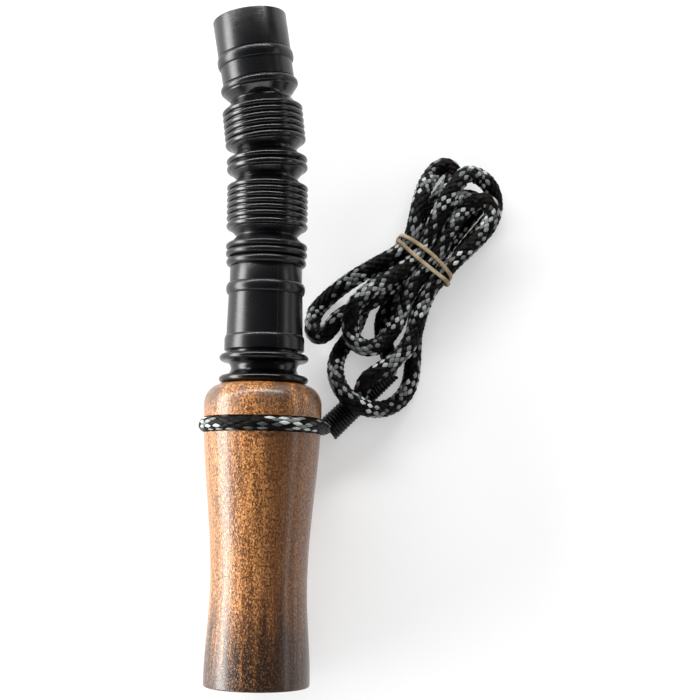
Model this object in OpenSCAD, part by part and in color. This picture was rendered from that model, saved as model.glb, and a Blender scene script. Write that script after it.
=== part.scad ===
// Deer grunt call lying on a flat surface: turned wooden barrel, reed housing, accordion hose
// and a braided lanyard whose spare length is folded into a hank.
// Origin: centre of the mouth face. +Y runs along the barrel towards the hose, +Z is up.

/* [Barrel] */
// Length of the wooden barrel
barrel_length = 90.8; // [88:0.2:93]
// Radius at the mouth rim
mouth_rim_radius = 16; // [15:0.1:17]
// Radius at the waist of the grip
grip_waist_radius = 14.65; // [14:0.05:15.2]
// Distance of the grip's waist from the mouth
grip_waist_place = 30; // [24:1:36]
// Largest radius, just below the shoulder
shoulder_radius = 18; // [17.6:0.1:18.4]
// Rounding of the shoulder
shoulder_round = 6.4; // [5.5:0.1:7]
// Radius of the bore at the mouth
mouth_bore_radius = 8; // [7:0.1:9]
// Depth of the bore at the mouth
mouth_bore_depth = 12; // [8:1:16]
// Radius of the chamber that takes the reed housing
chamber_radius = 10.05; // [10.02:0.01:10.1]

/* [Reed housing] */
// Radius of the stem inside the barrel
stem_radius = 9.9; // [9.8:0.02:9.9]
// Length of the stem inside the barrel
stem_length = 28.8; // [26:0.2:32]
// Radius of the two rounded flanges
flange_radius = 13.7; // [13.2:0.1:14.2]
// Radius of the spool between the flanges
spool_radius = 10.1; // [9.9:0.1:11]
// Radius of the nipple that the hose pushes on to
nipple_radius = 10.24; // [10.2:0.01:10.28]
// Length of the nipple above the upper flange
nipple_length = 17.4; // [15:0.2:19]

/* [Hose] */
// Bore of the lower cuff
cuff_bore_radius = 10.3; // [10.29:0.01:10.34]
// Radius over the ribs
rib_radius = 12.6; // [12.4:0.1:12.8]
// Radius at the throat of each neck
throat_radius = 9.4; // [9.2:0.1:9.8]
// Wall thickness at a throat
hose_wall = 1.2; // [1:0.1:1.4]
// Thin ribs in the lower group
lower_thin_ribs = 6; // [3:1:6]
// Thin ribs in the upper group
upper_thin_ribs = 5; // [3:1:5]
// Rest bend at the first neck, in degrees to the left
bend_1 = 0.5; // [0:0.1:4]
// Rest bend at the second neck
bend_2 = 3; // [0:0.1:4]
// Rest bend at the third neck
bend_3 = 3.5; // [0:0.1:4]
// Rest bend at the fourth neck
bend_4 = 2.5; // [0:0.1:4]

/* [Lanyard] */
// Diameter of the braided cord
cord_diameter = 5; // [4.8:0.1:5]
// Turns of thread in the whipping
whipping_turns = 16; // [14:1:16]
// Diameter of the whipping thread
thread_diameter = 1.15; // [0.8:0.05:1.15]

/* [Hidden] */
$fn = 96;

black_plastic = "#1c1d1f";
black_cord = "#2a2a28";

// Height of the surface that the call lies on, and of the cords' flat undersides
floor_z = -19;

// Places along the barrel and the housing
groove_place = 78;
noose_radius = 17.35;
noose_clearance = 0.25;
noose_thinning = 0.4;
rim_chamfer = 0.5;
housing_seat = barrel_length + 0.1;
flange_half = 1.2;
flange_spacing = 6.6;
lower_flange_place = housing_seat + flange_half;
upper_flange_place = lower_flange_place + flange_spacing;
flange_foot = 12.2;
spool_flare = 1.2;
stem_chamfer = 0.5;
nipple_chamfer = 0.6;
nipple_start = upper_flange_place + flange_half;
nipple_end = nipple_start + nipple_length;
stem_start = barrel_length - stem_length;
air_bore_radius = 5;
nipple_bore_radius = 7.6;
nipple_bore_start = stem_start + 22;
push_fit = 0.05;
o_ring_places = [stem_start + 8, stem_start + 20];
o_ring_section = 0.75;
o_ring_proud = 0.1;
o_ring_radius = stem_radius + o_ring_proud - o_ring_section;
o_ring_groove_half = 0.9;

// Tone board, reed, wedge and tuning ring, all centred on the housing's axis
board_radius = air_bore_radius - push_fit;
board_start = 20;
board_seat = 12;
trough_radius = 2.6;
trough_start = 27;
reed_thickness = 0.35;
reed_width = 7.6;
reed_start = 22;
reed_lift = push_fit;
reed_tilt = 1.2;
reed_split = 0.1;
reed_root_end = stem_start + board_seat - 2;
wedge_start = stem_start + 0.5;
wedge_end = reed_root_end - 0.5;
ring_start = 52;
ring_width = 2.5;
ring_inner_radius = board_radius + push_fit;
ring_wall = 1.4;
ring_inner_top = 1.3;

// Hose: places along its straightened axis
hose_start = nipple_start + 0.9;
face_gap = 0.05;
cuff_end = 134.3;
throat_1 = 136.5;
lower_start = 138.75;
lower_first_rib = 142.2;
lower_end = 152.6;
throat_2 = 154.6;
middle_start = 157.05;
middle_end = 161.45;
throat_3 = 163.4;
upper_start = 165.65;
upper_first_rib = 168.6;
upper_end = 177.4;
throat_4 = 180.3;
end_start = 183.05;
hose_end = 207;
throats = [throat_1, throat_2, throat_3, throat_4];
bends = [bend_1, bend_2, bend_3, bend_4];
ribs_bore_radius = 9.8;
flank_radius = 11.5;
fat_rib_half = 1.35;
thin_rib_half = 0.85;
throat_half = 0.2;
throat_reach = 1.2;
throat_sink = 0.5;
throat_bore = throat_radius - hose_wall;

// Lower cuff: a rounded lip, a sleeve that narrows to a bead, a second sleeve and three ribs
lip_radius = 12.3;
lip_round = 0.6;
lip_length = 4.9;
sleeve_foot_radius = 11.75;
sleeve_head_radius = 11.4;
bead_half = 1.85;
lower_bead_place = 120.05;
lower_bead_foot = 11.25;
lower_bead_height = 0.95;
second_sleeve_radius = 11.15;
second_sleeve_end = 126.8;
cuff_rib_places = [128.4, 131.05, 133.3];

// Upper cuff: a fat rib, a sleeve, a bead and the plain end
upper_sleeve_radius = 11.3;
upper_bead_place = 193.2;
upper_bead_height = 0.75;
end_cuff_radius = 11.6;
end_cuff_round = 0.4;
end_bore_depth = 12;

// Turns a profile drawn as [radius, place] about the barrel's axis
module turned(profile) {
    rotate([-90, 0, 0]) rotate_extrude() polygon(profile);
}

module bored(radius, start, end) {
    translate([0, start, 0]) rotate([-90, 0, 0]) cylinder(r = radius, h = end - start);
}

// Rise and fall of a smooth swell, from 0 to 1
function swell(t) = (1 - cos(180 * t)) / 2;

// Half-round bead on a profile: place of its middle, half length, foot radius and height
function bead(place, half, foot, height) =
    [for (i = [0:8]) [foot + height * sin(22.5 * i), place - half * cos(22.5 * i)]];

// Round rib whose crown reaches radius
function rib(place, half, radius) = bead(place, half, radius - half, half);

grip_steps = 10;
body_steps = 16;
shoulder_steps = 8;

function barrel_outline() = concat(
    [[0, 0], [mouth_rim_radius - rim_chamfer, 0]],
    [for (i = [0:grip_steps])
        let (t = i / grip_steps)
        [mouth_rim_radius - (mouth_rim_radius - grip_waist_radius) * swell(t),
            rim_chamfer + (grip_waist_place - rim_chamfer) * t]],
    [for (i = [1:body_steps])
        let (t = i / body_steps)
        [grip_waist_radius + (shoulder_radius - grip_waist_radius) * swell(t),
            grip_waist_place + (barrel_length - shoulder_round - grip_waist_place) * t]],
    [for (i = [1:shoulder_steps])
        let (a = 90 * i / shoulder_steps)
        [shoulder_radius - shoulder_round + shoulder_round * cos(a),
            barrel_length - shoulder_round + shoulder_round * sin(a)]],
    [[0, barrel_length]]);

module barrel() {
    color("#9a6a3f") difference() {
        turned(barrel_outline());
        bored(mouth_bore_radius, -1, mouth_bore_depth + 1);
        bored(chamber_radius, mouth_bore_depth, barrel_length + 1);
        translate([0, groove_place, 0]) rotate([-90, 0, 0]) rotate_extrude()
            translate([noose_radius, 0]) circle(r = noose_cord_radius + noose_clearance, $fn = 48);
    }
}

spool_steps = 6;
spool_start = lower_flange_place + flange_half;
spool_end = upper_flange_place - flange_half;

// The spool's hollow between the flanges, narrowest in the middle
function spool_hollow() =
    [for (i = [1:spool_steps - 1])
        let (t = i / spool_steps)
        [spool_radius + spool_flare * pow(2 * t - 1, 2), spool_start + (spool_end - spool_start) * t]];

module reed_housing() {
    color(black_plastic) difference() {
        turned(concat(
            [[0, stem_start], [stem_radius - stem_chamfer, stem_start],
                [stem_radius, stem_start + stem_chamfer], [stem_radius, housing_seat]],
            bead(lower_flange_place, flange_half, flange_foot, flange_radius - flange_foot),
            spool_hollow(),
            bead(upper_flange_place, flange_half, flange_foot, flange_radius - flange_foot),
            [[nipple_radius, nipple_start], [nipple_radius, nipple_end - nipple_chamfer],
                [nipple_radius - nipple_chamfer, nipple_end], [0, nipple_end]]));
        bored(air_bore_radius, stem_start - 1, nipple_bore_start + 1);
        bored(nipple_bore_radius, nipple_bore_start, nipple_end + 1);
        for (place = o_ring_places)
            translate([0, place, 0]) rotate([-90, 0, 0]) rotate_extrude()
                translate([o_ring_radius - o_ring_section - push_fit, -o_ring_groove_half])
                    square([2 * o_ring_section + 1, 2 * o_ring_groove_half]);
    }
}

module housing_o_rings() {
    color("#3a3a3a") for (place = o_ring_places)
        translate([0, place, 0]) rotate([-90, 0, 0]) rotate_extrude()
            translate([o_ring_radius, 0]) circle(r = o_ring_section, $fn = 32);
}

// Everything in a cross-section that lies below a height
module below(height) {
    reach = 2 * chamber_radius;
    translate([-reach, height - 2 * reach]) square(2 * reach);
}

// Draws a cross-section in X and Z along the barrel's axis
module drawn_along(start, end) {
    translate([0, end, 0]) rotate([90, 0, 0]) linear_extrude(height = end - start) children();
}

module tone_board() {
    color("#d8d2c0") difference() {
        drawn_along(board_start, stem_start + board_seat) intersection() {
            circle(r = board_radius);
            below(0);
        }
        bored(trough_radius, trough_start, stem_start + board_seat + 1);
    }
}

module reed_strip(start, end) {
    translate([-reed_width / 2, start, reed_lift]) cube([reed_width, end - start, reed_thickness]);
}

module reed() {
    color("#e9e4d0") translate([0, stem_start, 0]) rotate([-reed_tilt, 0, 0]) translate([0, -stem_start, 0])
        reed_strip(reed_start, stem_start - reed_split);
}

module reed_root() {
    color("#e9e4d0") reed_strip(stem_start + reed_split, reed_root_end);
}

module reed_wedge() {
    color("#b98a5a") drawn_along(wedge_start, wedge_end) difference() {
        circle(r = air_bore_radius - push_fit);
        below(reed_lift + reed_thickness + push_fit);
    }
}

module tuning_ring() {
    color("#c8402c") drawn_along(ring_start, ring_start + ring_width) difference() {
        intersection() {
            circle(r = ring_inner_radius + ring_wall);
            below(ring_inner_top + ring_wall);
        }
        intersection() {
            circle(r = ring_inner_radius);
            below(ring_inner_top);
        }
    }
}

// Carries a piece of the straightened hose round the first count bends
module bent(count) {
    if (count == 0)
        children();
    else
        bent(count - 1) translate([0, throats[count - 1], 0]) rotate([0, 0, bends[count - 1]])
            translate([0, -throats[count - 1], 0]) children();
}

// A hose section turned from its outline, with its bore
module hose_section(outline, start, end) {
    color(black_plastic) difference() {
        turned(concat([[0, start]], outline, [[0, end]]));
        bored(ribs_bore_radius, start - 1, end + 1);
    }
}

// Half of a neck: a cone from its face down to just short of the throat
module neck_cone(place, throat, face_radius, inner_end_radius, overrun) {
    toward = throat > place ? 1 : -1;
    turned([[0, place - toward * overrun], [face_radius, place - toward * overrun], [face_radius, place],
        [inner_end_radius, throat - toward * throat_half], [0, throat - toward * throat_half]]);
}

// Each half of a neck follows its own side of the bend, and a ring at the throat joins the two
module hose_neck(number, start, end) {
    throat = throats[number - 1];
    color(black_plastic) difference() {
        union() {
            bent(number - 1) neck_cone(start + face_gap, throat, flank_radius, throat_radius - throat_sink, 0);
            bent(number) neck_cone(end - face_gap, throat, flank_radius, throat_radius - throat_sink, 0);
            bent(number - 1) bored(throat_radius, throat - throat_reach, throat + throat_reach);
        }
        bent(number - 1) neck_cone(start + face_gap, throat, ribs_bore_radius, throat_bore - throat_sink, 1);
        bent(number) neck_cone(end - face_gap, throat, ribs_bore_radius, throat_bore - throat_sink, 1);
        bent(number - 1) bored(throat_bore, throat - 2 * throat_reach, throat + 2 * throat_reach);
    }
}

module hose_lower_cuff() {
    color(black_plastic) difference() {
        turned(concat(
            [[0, hose_start], [lip_radius - lip_round, hose_start], [lip_radius, hose_start + lip_round],
                [lip_radius, hose_start + lip_length - lip_round],
                [sleeve_foot_radius, hose_start + lip_length],
                [sleeve_head_radius, lower_bead_place - bead_half]],
            bead(lower_bead_place, bead_half, lower_bead_foot, lower_bead_height),
            [[second_sleeve_radius, lower_bead_place + bead_half], [second_sleeve_radius, second_sleeve_end]],
            rib(cuff_rib_places[0], fat_rib_half, rib_radius - 0.25),
            rib(cuff_rib_places[1], 1.1, rib_radius),
            rib(cuff_rib_places[2], 1, rib_radius),
            [[0, cuff_end]]));
        bored(cuff_bore_radius, hose_start - 1, nipple_end + 0.6);
        bored(ribs_bore_radius, nipple_end, cuff_end + 1);
    }
}

module hose_neck_1() {
    hose_neck(1, cuff_end, lower_start);
}

// One broader rib and a row of thin ones up to the end, as each group of the hose has them
function rib_group(start, broad_half, first_thin, count, end) = concat(
    rib(start + broad_half, broad_half, rib_radius),
    [for (i = [0:count - 1])
        let (pitch = (end - thin_rib_half - first_thin) / max(count - 1, 1))
        each rib(first_thin + pitch * i, thin_rib_half, rib_radius)]);

module hose_ribs_lower() {
    bent(1) hose_section(rib_group(lower_start, 1, lower_first_rib, lower_thin_ribs, lower_end),
        lower_start, lower_end);
}

module hose_neck_2() {
    hose_neck(2, lower_end, middle_start);
}

module hose_ribs_middle() {
    bent(2) hose_section(rib_group(middle_start, 1.15, middle_end - thin_rib_half, 1, middle_end),
        middle_start, middle_end);
}

module hose_neck_3() {
    hose_neck(3, middle_end, upper_start);
}

module hose_ribs_upper() {
    bent(3) hose_section(rib_group(upper_start, 1, upper_first_rib, upper_thin_ribs, upper_end),
        upper_start, upper_end);
}

module hose_neck_4() {
    hose_neck(4, upper_end, end_start);
}

module hose_upper_cuff() {
    bent(4) color(black_plastic) difference() {
        turned(concat(
            [[0, end_start]],
            rib(end_start + fat_rib_half, fat_rib_half, rib_radius - 0.4),
            [[upper_sleeve_radius, end_start + 2 * fat_rib_half + 0.2],
                [upper_sleeve_radius, upper_bead_place - bead_half - 0.1]],
            bead(upper_bead_place, bead_half, upper_sleeve_radius, upper_bead_height),
            [[end_cuff_radius - 0.1, upper_bead_place + bead_half + 0.2],
                [end_cuff_radius, hose_end - end_cuff_round], [end_cuff_radius - end_cuff_round, hose_end],
                [0, hose_end]]));
        bored(ribs_bore_radius, end_start - 1, hose_end - 1);
        bored(cuff_bore_radius, hose_end - end_bore_depth, hose_end + 1);
    }
}

cord_radius = cord_diameter / 2;
// The noose is drawn tight, which makes its cord thinner
noose_cord_radius = cord_radius - noose_thinning;

function unit(v) = v / norm(v);

function heading(path, i) = unit(path[min(i + 1, len(path) - 1)] - path[max(i - 1, 0)]);

// One ring of a tube: across lies square to the path and to the reference direction
function tube_ring(middle, along, reference, half_width, half_height, sides) =
    let (across = unit(cross(along, reference)), up = cross(across, along))
    [for (j = [0:sides - 1])
        let (a = 360 * (j + 0.5) / sides,
            p = middle + across * half_width * cos(a) + up * half_height * sin(a))
        [p.x, p.y, max(p.z, floor_z)]];

// A closed tube swept along a path, flat where it lies on the surface
module tube(path, half_widths, half_heights, sides, reference, joined = false) {
    rings = len(path);
    last = rings - 1;
    points = [for (i = [0:last])
        let (along = joined ? unit(path[(i + 1) % rings] - path[(i + last) % rings]) : heading(path, i))
        each tube_ring(path[i], along, reference, half_widths[i], half_heights[i], sides)];
    walls = [for (i = [0:(joined ? last : last - 1)], j = [0:sides - 1])
        let (a = i * sides + j, b = i * sides + (j + 1) % sides,
            c = ((i + 1) % rings) * sides + j, d = ((i + 1) % rings) * sides + (j + 1) % sides)
        each [[a, b, d], [a, d, c]]];
    caps = joined ? [] : [for (j = [1:sides - 2]) each [[0, j + 1, j], [last * sides, last * sides + j,
        last * sides + j + 1]]];
    polyhedron(points = points, faces = concat(walls, caps));
}

function same(path, value) = [for (p = path) value];

// Least distance between stretches of a path that lie more than skip points apart
function least_spacing(path, skip) =
    min([for (i = [0:len(path) - skip - 2], j = [i + skip + 1:len(path) - 1]) norm(path[i] - path[j])]);

// Whipping: its axis runs from the barrel's side down to the surface
whipping_foot = [19.9, 78, floor_z + 4.2];
whipping_tip = [39.1, 97.1, floor_z + 3.5];
whipping_length = norm(whipping_tip - whipping_foot);
whipping_way = unit(whipping_tip - whipping_foot);
whipping_side = unit(cross(whipping_way, [0, 0, 1]));
whipping_up = cross(whipping_side, whipping_way);
winding_foot_radius = 4 - thread_diameter / 2;
winding_tip_radius = 3.4 - thread_diameter / 2;
rings_per_turn = 24;

function winding_point(t) =
    let (a = 360 * whipping_turns * t,
        r = winding_foot_radius + (winding_tip_radius - winding_foot_radius) * t)
    whipping_foot + whipping_way * whipping_length * t
        + (whipping_side * cos(a) + whipping_up * sin(a)) * r;

function winding_path() =
    let (steps = whipping_turns * rings_per_turn, turns = [for (i = [0:steps]) winding_point(i / steps)],
        first = unit(turns[0] - turns[1]), last = unit(turns[steps] - turns[steps - 1]))
    concat([turns[0] + first * thread_diameter], turns, [turns[steps] + last * thread_diameter]);

module whipping() {
    path = winding_path();
    echo(whipping_least_gap = least_spacing(path, rings_per_turn / 2) - thread_diameter);
    color("#161616") tube(path, same(path, thread_diameter / 2), same(path, thread_diameter / 2), 6,
        whipping_way);
}

// Noose: both legs of the cord lie pressed together under the whipping, one above the other,
// and part at its foot to go round the barrel in its groove
pressed_half_width = 2.45;
pressed_half_height = 1.15;
pressed_rise = 1.4;
leg_b_radius = 2.3;
leg_a_exit = 14;
arc_start = 7;
arc_end = 272.5;
arc_steps = 18;

function under_whipping(along, rise) = whipping_foot + whipping_way * along + [0, 0, rise];

// Each entry: point of the path, half width, half height
noose_course = concat(
    [for (along = [leg_a_exit:-3:2]) [under_whipping(along, pressed_rise), pressed_half_width,
        pressed_half_height]],
    [[[19.4, 78.5, -13.1], 2.4, 1.35], [[18.8, 78.1, -11.5], 2.3, 1.75], [[18.4, 78, -8], 2.15, 2.1],
        [[17.85, 78, -3], noose_cord_radius, noose_cord_radius]],
    [for (i = [0:arc_steps])
        let (a = arc_start + (arc_end - arc_start) * i / arc_steps)
        [[noose_radius * cos(a), groove_place, noose_radius * sin(a)], noose_cord_radius, noose_cord_radius]],
    [[[7, 78, -17.2], noose_cord_radius, noose_cord_radius], [[13, 78, -17.1], 2.2, 1.95],
        [[17.4, 78.1, -16.8], 2.4, 1.45]],
    [for (along = [1:3:leg_a_exit]) [under_whipping(along, -pressed_rise), pressed_half_width,
        pressed_half_height]],
    [[under_whipping(16.5, -0.6), 2.35, 1.9]],
    [for (along = [19:4:whipping_length - 1]) [under_whipping(along, 0), leg_b_radius, leg_b_radius]],
    [[whipping_tip, leg_b_radius, leg_b_radius]]);

noose_sides = 8;
noose_path = [for (c = noose_course) c[0]];

// A noose ring lies square to the barrel's axis, so its height comes first
function noose_ring(i) = tube_ring(noose_path[i], heading(noose_path, i), [0, 1, 0], noose_course[i][2],
    noose_course[i][1], noose_sides);

// Least distance between the surfaces of the noose's two ends, on the corners of rings well apart
function noose_least_gap() =
    let (last = len(noose_path) - 1, skip = 8)
    min([for (i = [0:last - skip], j = [i + skip:last], p = noose_ring(i), q = noose_ring(j)) norm(p - q)]);

module lanyard_noose() {
    echo(noose_least_gap = noose_least_gap());
    color(black_cord) tube(noose_path, [for (c = noose_course) c[2]], [for (c = noose_course) c[1]],
        noose_sides, [0, 1, 0]);
}

// Hank: places are [along, across, height], from the middle of its waist, with the height
// measured from the surface
hank_waist = [49.3, 132.2];
hank_bearing = 50.7;
hank_along = [cos(hank_bearing), sin(hank_bearing), 0];
hank_across = [sin(hank_bearing), -cos(hank_bearing), 0];

function hank_place(p) =
    [hank_waist.x, hank_waist.y, floor_z] + hank_along * p.x + hank_across * p.y + [0, 0, p.z];

// Strands at the waist, in two layers of four, in the order that the cord passes them
waist_pitch = 5;
waist_half = 2;
lower_height = 4.5;
upper_height = 9.5;
waist_strands = [[3, upper_height], [2, upper_height], [1, upper_height], [3, lower_height],
    [0, lower_height], [0, upper_height], [1, lower_height], [2, lower_height]];

// Folds in the order that the cord makes them. Each: side of the waist, distance at which its round end
// starts, reach of that end, three places across and three heights (start, tip and end of the round end),
// then how late the run out and the run back swing across, and how late they change height
folds = [
    [1, 20, 7.4, [8.8, 4, -0.4], [8.2, 8.6, 8.2], [1, 1], [2, 2]],
    [-1, 25, 9.5, [7, 1.6, -6.9], [9, 12, 15], [2.4, 1.6], [2, 1]],
    [1, 26, 6.9, [-7.4, -1.8, 7.5], [11.4, 5.8, 2.2], [1, 1], [1, 0.7]],
    [-1, 37, 12.2, [22.8, 11, -2], [2, 11.2, 2.4], [2.2, 3.4], [0.5, 0.6]],
    [1, 25.7, 4.3, [-9.9, -13.2, -16.4], [2, 2, 2], [1, 1], [0.6, 4]],
    [-1, 33.7, 6.5, [-16.2, -11, -8.6], [2, 4.5, 9], [1, 4], [3, 0.8]],
    [1, 23.8, 2.8, [-3.7, -0.95, 1.8], [2.3, 2.3, 2.3], [0.75, 1], [0.7, 0.7]]];

function strand_across(strand) = (strand[0] - 1.5) * waist_pitch;

function waist_point(strand) = [0, strand_across(strand), strand[1]];

function drawn_out(t) = sin(90 * pow(t, 1.25));

// Points of a run, from the waist out to a round end; which is 0 for the run out and 1 for the run back
function run_points(fold, strand, which, steps) =
    let (across = fold[3][2 * which], height = fold[4][2 * which])
    [for (i = [1:steps])
        let (t = i / steps, s = drawn_out(t))
        [fold[0] * (waist_half + (fold[1] - waist_half) * t),
            strand_across(strand) + (across - strand_across(strand)) * pow(s, fold[5][which]),
            strand[1] + (height - strand[1]) * pow(s, fold[6][which])]];

// Points of a round end, between its two runs
function round_end_points(fold, steps) =
    let (across = fold[3], heights = fold[4], middle = (across[0] + across[2]) / 2)
    [for (i = [1:steps - 1])
        let (a = 180 * i / steps, near = a < 90 ? heights[0] : heights[2])
        [fold[0] * (fold[1] + fold[2] * sin(a)),
            middle + (across[0] - across[2]) / 2 * cos(a) + (across[1] - middle) * sin(a),
            heights[1] + (near - heights[1]) * pow(cos(a), 2)]];

function reversed(list) = [for (i = [len(list) - 1:-1:0]) list[i]];

function fold_path(k, run_steps, end_steps) = concat(
    [waist_point(waist_strands[k])],
    run_points(folds[k], waist_strands[k], 0, run_steps),
    round_end_points(folds[k], end_steps),
    reversed(run_points(folds[k], waist_strands[k + 1], 1, run_steps)));

function hank_course(run_steps, end_steps) = concat(
    [for (k = [0:len(folds) - 1]) each fold_path(k, run_steps, end_steps)],
    [waist_point(waist_strands[len(folds)])]);

// The band presses the cord thinner at the waist
waist_squeeze = 0.4;
squeeze_reach = 8;

function squeezed_radius(along) = cord_radius - waist_squeeze * exp(-pow(along / squeeze_reach, 2));

// Least gap between strands more than a round end apart, on points closer together than the rings
function hank_least_gap() =
    let (end_steps = 10, course = hank_course(10, end_steps), skip = end_steps)
    min([for (i = [0:len(course) - skip - 2], j = [i + skip + 1:len(course) - 1])
        norm(course[i] - course[j]) - squeezed_radius(course[i].x) - squeezed_radius(course[j].x)]);

module lanyard_hank() {
    course = hank_course(8, 8);
    radii = [for (p = course) squeezed_radius(p.x)];
    echo(hank_least_gap = hank_least_gap());
    color(black_cord) tube([for (p = course) hank_place(p)], radii, radii, 6, [0, 0, 1]);
}

// Free legs between the hank's waist and the whipping, in the hank's places
leg_a_route = [[0, 7.5, 9.5], [-5, 7.6, 9.3], [-10, 8.6, 9], [-15, 10.5, 8.8], [-20, 12.7, 8.8],
    [-26, 14, 9.6], [-32, 13.4, 10.2], [-37, 12, 10.3], [-41, 11, 9.6], [-44, 11.8, 7.4], [-46.5, 12.9, 5.3]];
leg_b_route = [[0, 2.5, 4.5], [-5, 2.4, 3.6], [-10, 2, 2.4], [-15, 1.4, 2.3], [-19, 1.2, 2.3],
    [-22.6, 2.3, 2.3], [-26.2, 5.3, 2.4], [-28.3, 8.3, 2.5], [-30.4, 11.3, 2.8], [-33.6, 14.3, 3.5]];
leg_a_tail_heights = [1.9, 1.15];

module lanyard_leg_a() {
    radii = [for (p = leg_a_route) squeezed_radius(p.x)];
    full = len(radii) - len(leg_a_tail_heights);
    heights = concat([for (i = [0:full - 1]) radii[i]], leg_a_tail_heights);
    color(black_cord) tube([for (p = leg_a_route) hank_place(p)], radii, heights, 8, [0, 0, 1]);
}

module lanyard_leg_b() {
    radii = [for (p = leg_b_route) squeezed_radius(p.x)];
    color(black_cord) tube([for (p = leg_b_route) hank_place(p)], radii, radii, 8, [0, 0, 1]);
}

// Rubber band: one closed loop wrapped twice round the waist. Its two wraps lie side by side on top and
// cross once, underneath
band_half_width = 0.75;
band_half_thickness = 0.45;
band_spread = 1.5;
band_clearance = 0.1;
band_crossing = 0.7;
band_steps = 32;
band_sides = 6;
corner_across = 1.5 * waist_pitch;
corner_rise = (upper_height - lower_height) / 2;
bundle_middle = (upper_height + lower_height) / 2;
corner_hold = 2.2;

function held(value) = max(-1, min(1, corner_hold * value));

// Outline of the bundle: four strands at its corners, each grown to a radius
function bundle_outline(a, grow) =
    let (r = squeezed_radius(0) + grow)
    [corner_across * held(cos(a)) + r * cos(a), bundle_middle + corner_rise * held(sin(a)) + r * sin(a)];

// The angle a runs through both wraps, from 0 to 720, and starts underneath
function band_point(a) =
    let (turn = cos(a / 2), settled = band_clearance + band_half_thickness,
        edge = bundle_outline(a - 90, settled + band_crossing * (pow(turn, 4) - pow(turn, 3))))
    hank_place([band_spread * sin(a / 2), edge.x, edge.y]);

function band_ring(a) =
    tube_ring(band_point(a), unit(band_point(a + 1) - band_point(a - 1)), hank_along,
        band_half_thickness, band_half_width, band_sides);

// Least distance between the surfaces of the two wraps, on the corners of their sections
function band_least_gap() =
    min([for (a = [0:5:355], b = [a + 270:5:a + 450], p = band_ring(a), q = band_ring(b)) norm(p - q)]);

module rubber_band() {
    path = [for (i = [0:2 * band_steps - 1]) band_point(360 * (i + 0.5) / band_steps)];
    echo(band_least_gap = band_least_gap());
    color("#a8937a") tube(path, same(path, band_half_thickness), same(path, band_half_width), band_sides,
        hank_along, true);
}

barrel();
reed_housing();
housing_o_rings();
tone_board();
reed();
reed_root();
reed_wedge();
tuning_ring();
hose_lower_cuff();
hose_neck_1();
hose_ribs_lower();
hose_neck_2();
hose_ribs_middle();
hose_neck_3();
hose_ribs_upper();
hose_neck_4();
hose_upper_cuff();
lanyard_noose();
whipping();
lanyard_leg_a();
lanyard_leg_b();
lanyard_hank();
rubber_band();
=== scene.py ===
# %% [markdown]
# # A deer grunt call, dressed for its photograph
# The call is a turned wooden barrel with a black reed housing, a ribbed hose and a braided lanyard that is
# folded into a hank.

# %% Load the frame
import math

import bpy
import numpy as np
from mathutils import Matrix, Vector


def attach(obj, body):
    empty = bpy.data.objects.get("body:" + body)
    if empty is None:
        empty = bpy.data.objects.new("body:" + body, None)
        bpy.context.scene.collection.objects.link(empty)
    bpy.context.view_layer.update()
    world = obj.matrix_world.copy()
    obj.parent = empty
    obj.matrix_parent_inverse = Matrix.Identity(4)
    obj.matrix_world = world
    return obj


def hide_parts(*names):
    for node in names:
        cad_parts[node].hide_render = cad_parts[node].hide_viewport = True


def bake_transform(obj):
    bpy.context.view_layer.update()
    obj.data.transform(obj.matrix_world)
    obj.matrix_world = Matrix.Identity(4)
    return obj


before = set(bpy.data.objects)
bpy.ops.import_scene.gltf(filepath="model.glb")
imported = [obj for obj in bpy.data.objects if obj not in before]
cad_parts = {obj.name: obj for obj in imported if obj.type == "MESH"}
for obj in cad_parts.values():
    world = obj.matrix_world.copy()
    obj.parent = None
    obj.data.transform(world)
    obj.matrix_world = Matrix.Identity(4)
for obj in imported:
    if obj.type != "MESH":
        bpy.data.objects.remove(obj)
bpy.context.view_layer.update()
MM = 0.001

# %% [markdown]
# ## Camera
# The photograph looks almost straight down at the call, tilted six degrees towards the hose and rolled one
# degree. A 72 mm lens on a 36 mm sensor gives its perspective. The place was fitted to the outlines of the
# barrel and the hose.

# %% Add the camera
FLOOR = -19 * MM
CAMERA_PLACE = Vector((26.38, 54.4, 428.28)) * MM
TILT, ROLL = math.radians(6.319), math.radians(0.975)
bpy.ops.object.select_all(action="DESELECT")
bpy.ops.object.camera_add(location=CAMERA_PLACE)
camera = bpy.context.object
camera.name = "photo_camera"
camera.rotation_mode = "ZYX"
camera.rotation_euler = (TILT, 0, ROLL)
camera.data.sensor_width = 36
camera.data.lens = 72
bpy.context.scene.camera = camera
print("camera at", [round(c, 4) for c in camera.location])

# %% [markdown]
# ## Where the cord runs
# One braided cord makes the noose, the two legs and the hank, and both its ends are bound under the
# whipping. A Bezier curve could be drawn by hand, but the cord has to lie where the CAD solids are, so its
# line comes from the same round numbers and the same fold formula, in millimetres. Each row below is a
# point of the line and the cord's radius there: the cord is thinner where thread or band presses it.

# %% The whipping's axis and the noose
CORD_RADIUS = 2.5
PRESSED = 1.45
GROOVE_PLACE = 78.0
NOOSE_RADIUS = 17.35
NOOSE_CORD = 2.1
whip_foot = np.array([19.9, 78.0, -14.8])
whip_tip = np.array([39.1, 97.1, -15.5])
whip_length = np.linalg.norm(whip_tip - whip_foot)
whip_way = (whip_tip - whip_foot) / whip_length


def under_whipping(along, rise, radius):
    """A row of the cord's line at a distance along the whipping, above or below its axis."""
    return [*(whip_foot + whip_way * along + [0, 0, rise]), radius]


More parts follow.
